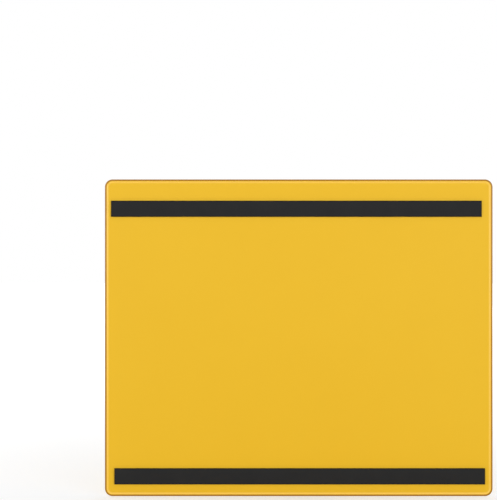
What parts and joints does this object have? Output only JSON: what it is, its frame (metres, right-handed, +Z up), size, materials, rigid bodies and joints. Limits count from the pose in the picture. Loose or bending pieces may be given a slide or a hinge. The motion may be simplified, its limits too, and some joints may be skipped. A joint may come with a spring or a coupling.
{
  "type": "magnetic document pocket",
  "caption": "Flat vinyl pocket for a landscape page: coloured back, clear welded window with a thumb notch, magnetic strips across the back that hold it to steel.",
  "frame": {"origin": "on the outer face of the upper magnetic strip, half way up the strip and half way across the pocket", "axes": "+Z up towards the mouth, +Y out of the back towards the steel surface it sticks to, +X across the pocket, to the right when the window is seen from the front"},
  "size_m": [0.306, 0.009, 0.2501],
  "materials": {
    "yellow_vinyl": "satin",
    "clear_vinyl": "gloss",
    "magnetic_rubber": "matte",
    "adhesive_tape": "matte"
  },
  "bodies": {
    "root": {"back_sheet": "yellow_vinyl", "front_window": "clear_vinyl", "upper_magnet_strip": "magnetic_rubber", "upper_adhesive_tape": "adhesive_tape", "lower_magnet_strip": "magnetic_rubber", "lower_adhesive_tape": "adhesive_tape"}
  },
  "joints": []
}
